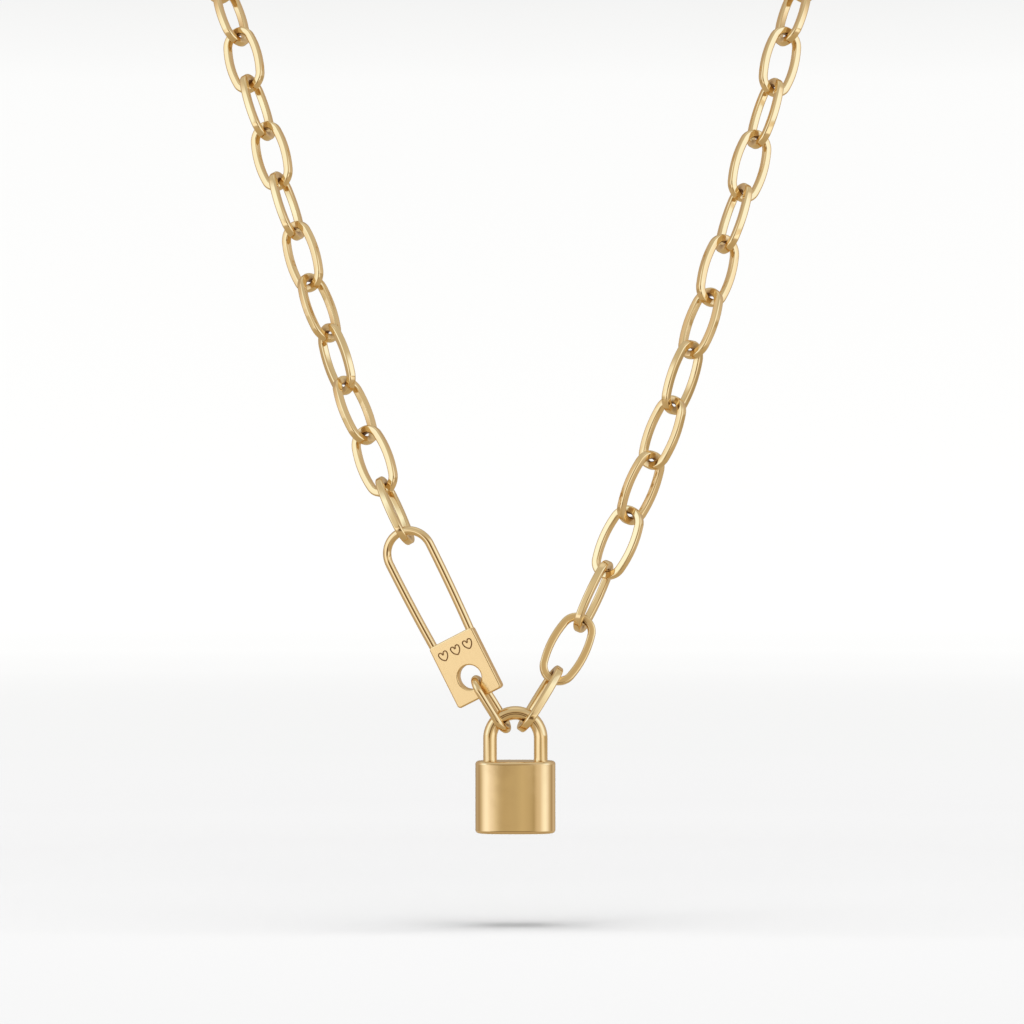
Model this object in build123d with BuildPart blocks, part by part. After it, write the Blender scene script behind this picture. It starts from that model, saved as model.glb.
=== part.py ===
from build123d import *
import math
import os

# A padlock pendant on its necklace, in gold-coloured brass
#
# The padlock hangs by its shackle from two ovals. The one on the wearer's
# right side (-X) carries a flat lock-shaped connector, and the chain of
# flat-sided oval links goes from there up round the neck and back down to
# the other side of the shackle.
#
# Sizes are in millimetres. +Z is up, the front faces -Y, and the origin is
# the point on the nape where the clasp rests.

# Chain link, across the whole link and across its flat-sided wire
link_length = 11.82
link_width = 6.5
link_wire = 1.18
link_end_radius = 2.3
link_edge = 0.18

# Plain round-wire oval between the padlock and the connector
drop_length = 10.0
drop_width = 5.4
drop_wire = 1.2
drop_end_radius = 2.05

# Flat connector: a plate with a hole, and a long bow cast on it
plate_width = 7.7
plate_length = 10.15
plate_thickness = 1.5
plate_corner = 0.5
plate_edge = 0.22
plate_hole = 3.7
plate_rim = 1.65
bow_wire = 1.28
bow_width = 8.5
bow_rise = 18.2
bow_root = 1.0

# Row of small outlined hearts engraved on the plate, above the hole
heart_count = 3
heart_width = 1.65
heart_height = 1.6
heart_spacing = 2.15
heart_line = 0.2
heart_depth = 0.12
heart_above_hole = 4.55

# Padlock, with a slightly crowned front and back
lock_width = 12.0
lock_depth = 6.0
lock_end_radius = 2.7
lock_height = 10.85
lock_edge = 0.5
shackle_wire = 2.05
shackle_spread = 7.6
shackle_rise = 8.2
socket_depth = 2.6

# Clasp, a plain barrel with an eye at each end
clasp_length = 11.0
clasp_diameter = 4.2
clasp_round = 1.4
eye_wire = 1.2
eye_hole = 3.0
eye_root = 0.5

# Clearances
link_gap = 0.44
hang_gap = 0.3
plate_gap = 0.45
seat_gap = 0.05

# Where the shackle's arch tops out, under and in front of the nape
drop_below_nape = 145.1
reach_in_front = 112.0

# Directions, in degrees: lean to the side, lean back, and roll about the
# length, which is positive where the right edge comes forward
hang_angle_drop = 38.0
hang_angle_chain = 33.0
hang_angle_bow = -12.0
drop_lean_angle = -32.0
drop_back_angle = 2.0
drop_roll_angle = -77.0
pull_angle = 15.0
connector_lean_angle = -24.1
connector_back_angle = 5.0
connector_roll_angle = 22.0

# Chosen points that the two chains pass, from the front up to the nape
left_route_points = [
    (-31.5, -93.1, -80.9),
    (-44.2, -76.3, -40.4),
    (-49.3, -64.5, -23.5),
    (-52.0, -49.0, -12.5),
    (-49.7, -30.0, -6.0),
    (-38.8, -12.0, -2.0),
    (-20.5, -0.8, 0.0),
]
right_route_points = [
    (5.9, -108.9, -140.5),
    (13.7, -105.4, -124.8),
    (20.8, -105.0, -108.0),
    (26.9, -103.0, -91.3),
    (32.3, -97.9, -75.0),
    (37.4, -93.0, -58.6),
    (42.3, -88.0, -42.2),
    (47.7, -73.0, -23.6),
    (51.3, -52.0, -12.6),
    (48.9, -31.0, -6.2),
    (37.7, -12.7, -2.0),
    (20.0, -1.0, 0.0),
]

# Roll of each link from the front upwards; the last two repeat beyond these
left_roll_angles = [-77, 30, -53, 51, -52, 35, -70, 28, -69, 24, -60, 26]
right_roll_angles = [82, 6, -69, 35, -39, 46, -46, 50, -31, 69, -27, 67, -25, 62]

viewer = Vector(0, -1, 0)
os.makedirs("parts", exist_ok=True)


# Directions and places

def leaning(side_angle, back_angle):
    """Upward direction that leans right and back by the given angles as seen from the front."""
    level = Vector(math.tan(math.radians(side_angle)), 0, 1).normalized()
    back = math.radians(back_angle)
    return level * math.cos(back) + Vector(0, math.sin(back), 0)


def square_to(along, wanted):
    """Direction square to along that comes nearest to the wanted one."""
    return (wanted - along * wanted.dot(along)).normalized()


def rolled_plane(origin, along, facing, roll):
    """Plane with Y along a piece and Z out of its front, rolled about its length."""
    right = along.cross(facing)
    turn = math.radians(roll)
    across = right * math.cos(turn) + facing * math.sin(turn)
    front = facing * math.cos(turn) - right * math.sin(turn)
    return Plane(origin=origin, x_dir=across, z_dir=front)


def link_places(route, pitch, rolls, facing):
    """Planes of the links that share a route evenly, no further apart than the pitch."""
    count = math.ceil(route.length / pitch)
    step = route.length / count
    meets = [route.position_at(step * n, PositionMode.LENGTH) for n in range(count + 1)]
    places = []
    for number, (start, end) in enumerate(zip(meets, meets[1:])):
        along = (end - start).normalized()
        facing = square_to(along, facing)
        row = number if number < len(rolls) else len(rolls) - 2 + (number - len(rolls)) % 2
        places.append(rolled_plane((start + end) / 2, along, facing, rolls[row]))
    return places


def draw_oval(length, width, end_radius):
    """Draw four tangent arcs: round ends joined by slightly bowed sides, long in Y."""
    end_centre = length / 2 - end_radius
    half_width = width / 2
    side_radius = (end_centre**2 + half_width**2 - end_radius**2) / (2 * (half_width - end_radius))
    side_centre = side_radius - half_width
    slope = math.atan2(end_centre, side_centre)
    join_x = side_radius * math.cos(slope) - side_centre
    join_y = side_radius * math.sin(slope)
    ThreePointArc((-join_x, join_y), (0, length / 2), (join_x, join_y))
    ThreePointArc((join_x, join_y), (half_width, 0), (join_x, -join_y))
    ThreePointArc((join_x, -join_y), (0, -length / 2), (-join_x, -join_y))
    ThreePointArc((-join_x, -join_y), (-half_width, 0), (-join_x, join_y))


# Places of the padlock and of what hangs it
arch_top = Vector(0, -reach_in_front, -drop_below_nape)
arch_radius = shackle_spread / 2
arch_centre = arch_top - Vector(0, 0, arch_radius + shackle_wire / 2)
lock_top = arch_top.Z - shackle_rise


def arch_point(angle):
    """Centre of the shackle's wire at an angle from the top of its arch, to the right."""
    turn = math.radians(angle)
    return arch_centre + Vector(math.sin(turn), 0, math.cos(turn)) * arch_radius


# Oval between the shackle and the connector
drop_inner = drop_length - 2 * drop_wire
drop_along = leaning(drop_lean_angle, drop_back_angle)
drop_low_end = arch_point(-hang_angle_drop) - drop_along * (shackle_wire / 2 + hang_gap)
drop_centre = drop_low_end + drop_along * (drop_inner / 2)
drop_plane = rolled_plane(drop_centre, drop_along, square_to(drop_along, viewer), drop_roll_angle)

with BuildPart() as connector_ring:
    with BuildLine(drop_plane) as ring_path:
        draw_oval(drop_length - drop_wire, drop_width - drop_wire, drop_end_radius)
    with BuildSketch(Plane(origin=ring_path.line @ 0, z_dir=ring_path.line % 0)):
        Circle(drop_wire / 2)
    sweep()
connector_ring.part.label = "connector_ring"

# Connector, placed so that the wall of its hole rests in the oval's upper end
connector_along = leaning(connector_lean_angle, connector_back_angle)
connector_facing = square_to(connector_along, viewer)
hole_wall = drop_low_end + drop_along * (drop_inner - plate_gap)
hang_plane = rolled_plane(hole_wall, connector_along, connector_facing, connector_roll_angle)
pull = math.radians(pull_angle)
pull_way = hang_plane.x_dir * math.sin(pull) - hang_plane.y_dir * math.cos(pull)
hole_centre = hole_wall - pull_way * (plate_hole / 2)
connector_plane = rolled_plane(hole_centre, connector_along, connector_facing, connector_roll_angle)

plate_bottom = -plate_hole / 2 - plate_rim
plate_top = plate_bottom + plate_length
bow_radius = (bow_width - bow_wire) / 2
bow_foot = (plate_width - bow_wire) / 2
bow_centre = plate_top + bow_rise - bow_wire / 2 - bow_radius
bow_foot_end = plate_top - bow_root

# Outline of one engraved heart, centred on its own middle
lobe = heart_width / 4
with BuildSketch() as heart:
    with BuildLine():
        lobe_arc = ThreePointArc(
            (0, heart_height / 2 - lobe),
            (lobe, heart_height / 2),
            (2 * lobe, heart_height / 2 - lobe),
        )
        TangentArc(lobe_arc @ 1, (0, -heart_height / 2), tangent=(0, -1))
        mirror(about=Plane.YZ)
    make_face()
    offset(amount=-heart_line, mode=Mode.SUBTRACT)

with BuildPart() as connector:
    with BuildSketch(connector_plane) as plate_face:
        with Locations((0, plate_bottom + plate_length / 2)):
            Rectangle(plate_width, plate_length)
        fillet(plate_face.vertices(), radius=plate_corner)
    extrude(amount=plate_thickness / 2, both=True)
    with Locations(connector_plane):
        Hole(plate_hole / 2)
    fillet(connector.faces().group_by(SortBy.AREA)[-1].edges(), radius=plate_edge)
    with BuildLine(connector_plane) as bow_path:
        leg = TangentArc((-bow_radius, bow_centre), (-bow_foot, bow_foot_end), tangent=(0, -1))
        ThreePointArc(leg @ 0, (0, bow_centre + bow_radius), (bow_radius, bow_centre))
        TangentArc((bow_radius, bow_centre), (bow_foot, bow_foot_end), tangent=(0, -1))
    with BuildSketch(Plane(origin=leg @ 1, z_dir=leg % 1)):
        Circle(bow_wire / 2)
    sweep()
    with BuildSketch(connector_plane.offset(plate_thickness / 2)):
        with Locations((0, heart_above_hole)):
            with GridLocations(heart_spacing, 0, heart_count, 1):
                add(heart.sketch)
    extrude(amount=-heart_depth, mode=Mode.SUBTRACT)
connector.part.label = "connector"

# Padlock body with a socket for each leg of the shackle
with BuildPart() as lock_body:
    with BuildSketch(Plane((0, -reach_in_front, lock_top), x_dir=(0, -1, 0))):
        with BuildLine():
            draw_oval(lock_width, lock_depth, lock_end_radius)
        make_face()
    extrude(amount=-lock_height)
    fillet(lock_body.faces().filter_by(Plane.XY).edges(), radius=lock_edge)
    with Locations(Plane((0, -reach_in_front, lock_top))):
        with GridLocations(shackle_spread, 0, 2, 1):
            Hole(shackle_wire / 2 + seat_gap, depth=socket_depth)
lock_body.part.label = "lock_body"

# Shackle
leg_end = lock_top - socket_depth + seat_gap
with BuildPart() as lock_shackle:
    with BuildLine(Plane.XZ.offset(reach_in_front)) as shackle_path:
        leg = Line((-arch_radius, leg_end), (-arch_radius, arch_centre.Z))
        ThreePointArc(leg @ 1, (0, arch_centre.Z + arch_radius), (arch_radius, arch_centre.Z))
        Line((arch_radius, arch_centre.Z), (arch_radius, leg_end))
    with BuildSketch(Plane(origin=leg @ 0, z_dir=leg % 0)):
        Circle(shackle_wire / 2)
    sweep()
lock_shackle.part.label = "lock_shackle"

# One chain link, lying flat with its length along Y
with BuildPart() as chain_link:
    with BuildSketch():
        with BuildLine():
            draw_oval(link_length, link_width, link_end_radius + link_wire / 2)
        make_face()
        with BuildLine():
            draw_oval(
                link_length - 2 * link_wire,
                link_width - 2 * link_wire,
                link_end_radius - link_wire / 2,
            )
        make_face(mode=Mode.SUBTRACT)
    extrude(amount=link_wire / 2, both=True)
    fillet(chain_link.faces().filter_by(Plane.XY).edges(), radius=link_edge)

# Routes of the two chains, from where their first links hang to the clasp
link_pitch = link_length - 2 * link_wire - link_gap
eye_radius = eye_hole / 2 + eye_wire / 2
eye_centre = clasp_length / 2 - eye_root + eye_radius
clasp_centre = Vector(0, clasp_diameter / 2, 0)
route_end = eye_centre + eye_hole / 2 - link_gap / 2

hook_turn = math.radians(hang_angle_bow)
hook_reach = bow_radius - bow_wire / 2 - hang_gap + link_gap / 2
hook_x = hook_reach * math.sin(hook_turn)
hook_y = bow_centre + hook_reach * math.cos(hook_turn)
bow_hold = connector_plane.from_local_coords(Vector(hook_x, hook_y, 0))
chain_hang = arch_point(hang_angle_chain)
chain_start_way = (Vector(*right_route_points[0]) - chain_hang).normalized()
chain_hold = chain_hang - chain_start_way * (shackle_wire / 2 + hang_gap - link_gap / 2)

with BuildLine() as left_route:
    Spline(bow_hold, *left_route_points, clasp_centre - Vector(route_end, 0, 0))
with BuildLine() as right_route:
    Spline(chain_hold, *right_route_points, clasp_centre + Vector(route_end, 0, 0))

left_places = link_places(left_route.edge(), link_pitch, left_roll_angles, viewer)
right_places = link_places(right_route.edge(), link_pitch, right_roll_angles, viewer)

with BuildPart() as chain_left:
    with Locations(*left_places):
        add(chain_link.part)
chain_left.part.label = "chain_left"

with BuildPart() as chain_right:
    with Locations(*right_places):
        add(chain_link.part)
chain_right.part.label = "chain_right"

# Clasp, with each eye turned square to the link that it holds
with BuildPart() as clasp:
    with BuildSketch(Plane(origin=clasp_centre, z_dir=(1, 0, 0))):
        Circle(clasp_diameter / 2)
    extrude(amount=clasp_length / 2, both=True)
    fillet(clasp.faces().filter_by(GeomType.PLANE).edges(), radius=clasp_round)
    for side, last_link in ((-1, left_places[-1]), (1, right_places[-1])):
        eye_plane = Plane(
            origin=clasp_centre + Vector(side * eye_centre, 0, 0),
            z_dir=square_to(Vector(1, 0, 0), last_link.x_dir),
        )
        with Locations(eye_plane):
            Torus(eye_radius, eye_wire / 2)
clasp.part.label = "clasp"

print("left chain", len(left_places), "links,", round(left_route.edge().length, 1), "mm")
print("right chain", len(right_places), "links,", round(right_route.edge().length, 1), "mm")

export_step(chain_left.part, "parts/chain_left.step")
export_step(chain_right.part, "parts/chain_right.step")
export_step(clasp.part, "parts/clasp.step")
export_step(connector.part, "parts/connector.step")
export_step(connector_ring.part, "parts/connector_ring.step")
export_step(lock_body.part, "parts/lock_body.step")
export_step(lock_shackle.part, "parts/lock_shackle.step")
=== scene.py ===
# %% [markdown]
# # A padlock pendant on its necklace
#
# The necklace comes from its construction model as seven plain solids: two
# chains, a clasp, a flat connector, the oval ring under it, and a padlock in
# two parts. This lesson makes a finer skin for each of them out of mesh
# operators, gives the skins their polished metal, and sets a small studio
# round them. The construction model stays the frame: every new piece is
# drawn flat on a board at the origin and then laid where the solid is.

import math

import bmesh
import bpy
import numpy as np
from mathutils import Matrix, Vector
from mathutils.kdtree import KDTree


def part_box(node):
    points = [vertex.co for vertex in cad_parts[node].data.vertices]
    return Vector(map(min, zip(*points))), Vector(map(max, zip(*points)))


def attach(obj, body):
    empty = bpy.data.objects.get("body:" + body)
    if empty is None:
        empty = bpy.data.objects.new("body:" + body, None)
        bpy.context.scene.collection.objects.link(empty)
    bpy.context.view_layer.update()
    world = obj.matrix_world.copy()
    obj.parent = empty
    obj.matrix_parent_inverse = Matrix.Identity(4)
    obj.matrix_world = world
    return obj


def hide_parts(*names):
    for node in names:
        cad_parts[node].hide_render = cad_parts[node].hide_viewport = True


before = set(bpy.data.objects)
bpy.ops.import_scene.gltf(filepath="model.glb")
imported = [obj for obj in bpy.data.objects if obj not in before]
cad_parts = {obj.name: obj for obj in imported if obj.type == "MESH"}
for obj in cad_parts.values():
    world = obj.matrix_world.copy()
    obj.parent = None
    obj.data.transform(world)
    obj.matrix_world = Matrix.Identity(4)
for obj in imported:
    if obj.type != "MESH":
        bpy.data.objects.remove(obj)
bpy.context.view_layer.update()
print("solids:", ", ".join(sorted(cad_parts)))

# %% [markdown]
# ## Sizes
#
# All sizes are metres, written as millimetres times mm. They repeat the
# driving dimensions of the real thing, so that a skin is exactly as large as
# the solid it stands for.

# %% Sizes of the pieces
mm = 0.001

link_length = 11.82 * mm
link_width = 6.5 * mm
link_wire = 1.18 * mm
link_end_radius = 2.3 * mm
link_edge = 0.18 * mm
link_wear = 0.12 * mm

ring_length = 10.0 * mm
ring_width = 5.4 * mm
ring_wire = 1.2 * mm
ring_end_radius = 2.05 * mm

plate_width = 7.7 * mm
plate_length = 10.15 * mm
plate_thickness = 1.5 * mm
plate_corner = 0.5 * mm
plate_edge = 0.22 * mm
plate_hole = 3.7 * mm
plate_rim = 1.65 * mm
bow_wire = 1.28 * mm
bow_width = 8.5 * mm
bow_rise = 18.2 * mm
bow_root = 1.0 * mm

heart_count = 3
heart_width = 1.65 * mm
heart_height = 1.6 * mm
heart_spacing = 2.15 * mm
heart_line = 0.2 * mm
heart_depth = 0.12 * mm
heart_above_hole = 4.55 * mm

lock_width = 12.0 * mm
lock_depth = 6.0 * mm
lock_end_radius = 2.7 * mm
lock_height = 10.85 * mm
lock_edge = 0.5 * mm
shackle_wire = 2.05 * mm
shackle_spread = 7.6 * mm
socket_depth = 2.6 * mm
socket_gap = 0.05 * mm
socket_edge = 0.08 * mm

clasp_length = 11.0 * mm
clasp_diameter = 4.2 * mm
clasp_round = 1.4 * mm
eye_wire = 1.2 * mm
eye_hole = 3.0 * mm
eye_root = 0.5 * mm

# %% [markdown]
# ## Reading the places of the solids
#
# A chain is one node with many loose links in it. To lay a finer link on
# each, the script has to know where the old one lies. It could repeat the
# list of places by hand, but a solid tells its own place: the middle of its
# surface, the direction in which it is longest and the one in which it is
# thinnest. Those are the principal axes of its faces, weighed by their area,
# and they stay right when the construction model is changed.

# %% Split a node into its solids
WELD = 0.002 * mm


def welded_solids(node):
    """Groups of (corner places of a face, its area), one group for each loose solid of a node."""
    bm = bmesh.new()
    bm.from_mesh(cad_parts[node].data)
    bmesh.ops.remove_doubles(bm, verts=bm.verts, dist=WELD)
    waiting = set(bm.faces)
    groups = []
    while waiting:
        front = [waiting.pop()]
        group = []
        while front:
            face = front.pop()
            group.append((face.calc_center_median(), face.calc_area()))
            for edge in face.edges:
                for other in edge.link_faces:
                    if other in waiting:
                        waiting.remove(other)
                        front.append(other)
        groups.append(group)
    bm.free()
    return groups


def lying_place(group):
    """Matrix that takes a flat drawing, long in Y and thin in Z, to where a solid lies."""
    points = np.array([centre for centre, _ in group])
    areas = np.array([area for _, area in group])
    middle = (points * areas[:, None]).sum(axis=0) / areas.sum()
    spread = np.cov((points - middle).T, aweights=areas)
    axes = np.linalg.eigh(spread)[1]
    thin = Vector(axes[:, 0])
    along = Vector(axes[:, 2])
    if along.z < 0:
        along.negate()
    if thin.y > 0:
        thin.negate()
    return board_matrix(Vector(middle), along, thin)


def board_matrix(origin, along, outward):
    """Matrix with Y along a piece and Z out of its front."""
    across = along.cross(outward)
    turn = Matrix((across, along, outward)).transposed()
    return Matrix.Translation(origin) @ turn.to_4x4()


places = {}
for node in ("chain_left", "chain_right", "connector_ring", "connector", "clasp"):
    places[node] = [lying_place(group) for group in welded_solids(node)]
    print(node, "holds", len(places[node]), "solids")

# %% [markdown]
# ## Drawing wire on the board
#
# Nearly everything here is bent wire. A wire is a small closed outline, its
# section, carried along a path. On this necklace each path is made of
# straight runs and arcs, so two operators are enough: extrude for a run and
# spin for an arc. Each of them hands back its last copy of the section, and
# the next one goes on from there.

# %% Sections and how they travel
def round_section(bm, diameter, sides):
    """Closed round outline at the origin, square to X."""
    made = bmesh.ops.create_circle(bm, cap_ends=False, segments=sides, radius=diameter / 2)
    verts = made["verts"]
    bmesh.ops.rotate(bm, verts=verts, cent=(0, 0, 0), matrix=Matrix.Rotation(math.pi / 2, 3, "Y"))
    return verts + edges_of(verts)


def edges_of(verts):
    """Edges whose both ends are among the given vertices."""
    inside = set(verts)
    found = {edge for vert in verts for edge in vert.link_edges}
    return [edge for edge in found if set(edge.verts) <= inside]


def square_section(bm, across, edge, steps):
    """Closed square outline with rounded corners at the origin, square to X."""
    made = bmesh.ops.create_grid(bm, x_segments=1, y_segments=1, size=across / 2)
    bmesh.ops.bevel(
        bm,
        geom=made["verts"],
        offset=edge,
        segments=steps,
        profile=0.5,
        affect="VERTICES",
        material=-1,
    )
    bmesh.ops.delete(bm, geom=bm.faces[:], context="FACES_ONLY")
    verts = bm.verts[:]
    bmesh.ops.rotate(bm, verts=verts, cent=(0, 0, 0), matrix=Matrix.Rotation(math.pi / 2, 3, "Y"))
    return verts + bm.edges[:]


def arc_on(bm, section, centre, turn, steps):
    """Carry a section round a centre on the board, and give its last copy."""
    done = bmesh.ops.spin(
        bm,
        geom=section,
        cent=centre,
        axis=(0, 0, 1),
        angle=turn,
        steps=steps,
        use_merge=False,
        use_duplicate=False,
    )
    return done["geom_last"]


def run_on(bm, section, way):
    """Carry a section straight on, and give its last copy."""
    edges = [item for item in section if isinstance(item, bmesh.types.BMEdge)]
    done = bmesh.ops.extrude_edge_only(bm, edges=edges)
    verts = [item for item in done["geom"] if isinstance(item, bmesh.types.BMVert)]
    bmesh.ops.translate(bm, verts=verts, vec=way)
    return verts + edges_of(verts)


def move_section(bm, section, way):
    """Move a section to where its path starts."""
    verts = [item for item in section if isinstance(item, bmesh.types.BMVert)]
    bmesh.ops.translate(bm, verts=verts, vec=way)


# %% [markdown]
# ## The oval
#
# Links and the ring share one path: round ends joined by slightly bowed
# sides, which are arcs of a far larger circle. Where two arcs meet, their
# centres and the meeting point are in one line, so the path has no kink.
# Five spins go once round, and the first and last copies are welded.

# %% An oval of wire
def bend_oval(bm, section, length, width, end_radius, end_steps, side_steps):
    """Bend wire of the given section into an oval, given by the line in the middle of the wire."""
    end_centre = length / 2 - end_radius
    half = width / 2
    side_radius = (end_centre**2 + half**2 - end_radius**2) / (2 * (half - end_radius))
    side_centre = side_radius - half
    slope = math.atan2(end_centre, side_centre)
    quarter = math.pi / 2 - slope
    move_section(bm, section, (0, length / 2, 0))
    for centre, turn, steps in (
        ((0, end_centre, 0), quarter, end_steps),
        ((-side_centre, 0, 0), 2 * slope, side_steps),
        ((0, -end_centre, 0), 2 * quarter, 2 * end_steps),
        ((side_centre, 0, 0), 2 * slope, side_steps),
        ((0, end_centre, 0), quarter, end_steps),
    ):
        section = arc_on(bm, section, centre, -turn, steps)
    bmesh.ops.remove_doubles(bm, verts=bm.verts, dist=WELD)
    bmesh.ops.recalc_face_normals(bm, faces=bm.faces)


UPRIGHT = 0.9999
SHARP = math.radians(40)
# how far the painted shade reaches round each spot where two pieces meet
CREVICE_SHADE_REACH = 1.2 * mm
contacts = KDTree(4 * sum(len(found) for found in places.values()))


def mark_crevice_shade(bm):
    """Write into each vertex how near it is to a spot where two pieces meet, which is how much painted shade
    it gets.
    """
    shade_nearness = bm.verts.layers.float.new("shade_nearness")
    for vert in bm.verts:
        away = contacts.find(vert.co)[2]
        vert[shade_nearness] = max(0.0, 1.0 - away / CREVICE_SHADE_REACH)


def flat_on_board(bm):
    """Faces that lie flat on the board or parallel to it."""
    bm.normal_update()
    return {face for face in bm.faces if abs(face.normal.z) > UPRIGHT}


def finish_mesh(bm, name, weighted=False, flat=()):
    """Turn the drawing into an object at the origin, smooth but for its sharp corners and flat faces."""
    for face in bm.faces:
        face.smooth = face not in flat
    for edge in bm.edges:
        edge.smooth = edge.calc_face_angle(0) < SHARP
    # where the painted crevice shade goes, by nearness to the spots where pieces meet
    mark_crevice_shade(bm)
    mesh = bpy.data.meshes.new(name)
    bm.to_mesh(mesh)
    bm.free()
    made = bpy.data.objects.new(name, mesh)
    bpy.context.scene.collection.objects.link(made)
    if weighted:
        keep_flats = made.modifiers.new("flat faces stay flat", "WEIGHTED_NORMAL")
        keep_flats.weight = 60
        keep_flats.keep_sharp = True
    print(name, len(mesh.polygons), "faces")
    return made


# %% [markdown]
# ## Where pieces meet: painted shade
#
# Where one piece hangs in another, shade falls in the crevice, and it is painted there as a darker tint. The
# links and the ring tell those spots by themselves: they are the inner ends of their openings. The script
# collects them once, and every mesh gets a number at each vertex, from 0 to 1, for how near it is to one of
# them.

# %% Collect the contact spots
for node, length, wire in (
    ("chain_left", link_length, link_wire),
    ("chain_right", link_length, link_wire),
    ("connector_ring", ring_length, ring_wire),
):
    for place in places[node]:
        for end in (-1, 1):
            spot = place @ Vector((0, end * (length / 2 - wire), 0))
            contacts.insert(spot, 0)
contacts.balance()

# %% [markdown]
# ## The chain links
#
# The links are bent from flat-sided wire, a square with softly rounded
# corners. That is what gives them the pale flat face and the darker side
# beside it. One link is bent on the board and kept as a mesh. Each chain is
# then one object into which this mesh is read once for each place.

# %% One link
link_drawing = bmesh.new()
link_section = square_section(link_drawing, link_wire, link_edge + link_wear, 6)
bend_oval(
    link_drawing,
    link_section,
    link_length - link_wire,
    link_width - link_wire,
    link_end_radius,
    end_steps=14,
    side_steps=8,
)
link_mesh = bpy.data.meshes.new("one link")
link_drawing.to_mesh(link_mesh)
link_drawing.free()
print("one link has", len(link_mesh.polygons), "faces")

# %% Both chains
def lay_chain(name, node):
    """One object with a link at each place of a chain's solids."""
    bm = bmesh.new()
    for place in places[node]:
        laid = set(bm.verts)
        bm.from_mesh(link_mesh)
        link = [vert for vert in bm.verts if vert not in laid]
        bmesh.ops.transform(bm, matrix=place, verts=link)
    return finish_mesh(bm, name, weighted=True)


left_links = lay_chain("links_left", "chain_left")
right_links = lay_chain("links_right", "chain_right")

# %% [markdown]
# ## The ring between connector and padlock
#
# It is the same oval in round wire.

# %% The oval ring
bm = bmesh.new()
section = round_section(bm, ring_wire, 28)
bend_oval(
    bm,
    section,
    ring_length - ring_wire,
    ring_width - ring_wire,
    ring_end_radius,
    end_steps=18,
    side_steps=10,
)
bmesh.ops.transform(bm, matrix=places["connector_ring"][0], verts=bm.verts)
hanging_ring = finish_mesh(bm, "hanging_ring")

# %% [markdown]
# ## The connector
#
# A cast plate with a hole, and a long bow that grows out of its upper
# corners. Its place is read from the solid too, but a plate and a bow aren't
# the same at both ends, so the board's origin is set on the lower edge of
# the plate, found as the lowest point along its length.

# %% Where the connector's lower edge is
def ends_along(node, place):
    """Lowest and highest reach of a node along the board's Y, in the board's own frame."""
    back = place.inverted()
    reach = [(back @ vert.co).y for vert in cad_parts[node].data.vertices]
    return min(reach), max(reach)


connector_place = places["connector"][0]
low, high = ends_along("connector", connector_place)
connector_place = connector_place @ Matrix.Translation((0, low + plate_rim + plate_hole / 2, 0))
print("connector is", round((high - low) / mm, 2), "mm long")

# %% Helpers for what an operator hands back
def verts_in(geom):
    """The vertices in an operator's result."""
    return [item for item in geom if isinstance(item, bmesh.types.BMVert)]


def rim_edges(bm, height):
    """Edges with a face on one side only that lie at a height over the board."""
    return [
        edge
        for edge in bm.edges
        if len(edge.link_faces) < 2 and all(abs(v.co.z - height) < WELD for v in edge.verts)
    ]


# %% [markdown]
# The plate starts as a single square face. Its four corners are rounded by a
# vertex bevel, the face is pulled up into a slab, and the slab's two rims
# are rounded by an edge bevel. The two flat caps are then taken off, because
# the hole and the engraving have to be drawn in them.

# %% The slab
plate_bottom = -plate_hole / 2 - plate_rim
plate_top = plate_bottom + plate_length
plate_half = plate_thickness / 2


def open_slab(bm):
    """Slab with rounded corners and rims, open at the front and the back."""
    made = bmesh.ops.create_grid(bm, x_segments=1, y_segments=1, size=0.5)
    corners = made["verts"]
    bmesh.ops.scale(bm, vec=(plate_width, plate_length, 1), verts=corners)
    bmesh.ops.translate(bm, vec=(0, (plate_bottom + plate_top) / 2, -plate_half), verts=corners)
    bmesh.ops.bevel(
        bm,
        geom=corners,
        offset=plate_corner,
        segments=6,
        profile=0.5,
        affect="VERTICES",
        material=-1,
    )
    raised = bmesh.ops.extrude_face_region(bm, geom=bm.faces[:], use_keep_orig=True)
    bmesh.ops.translate(bm, vec=(0, 0, plate_thickness), verts=verts_in(raised["geom"]))
    bmesh.ops.recalc_face_normals(bm, faces=bm.faces)
    rims = [edge for edge in bm.edges if abs(edge.verts[0].co.z - edge.verts[1].co.z) < WELD]
    bmesh.ops.bevel(
        bm,
        geom=rims,
        offset=plate_edge,
        segments=4,
        profile=0.5,
        affect="EDGES",
        material=-1,
    )
    flat_caps = [face for face in bm.faces if len(face.verts) > 4]
    print("the slab has", len(bm.faces), "faces,", len(flat_caps), "of them flat caps")
    bmesh.ops.delete(bm, geom=flat_caps, context="FACES_ONLY")


# %% [markdown]
# The hole's wall is drawn as half a section, a straight run with a quarter
# arc at its open end, and spun once round the hole's middle. The same
# drawing makes the padlock's sockets, which have a floor. The flat faces
# are filled between outlines afterwards, which leaves what lies inside the
# inner outlines open.

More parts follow.
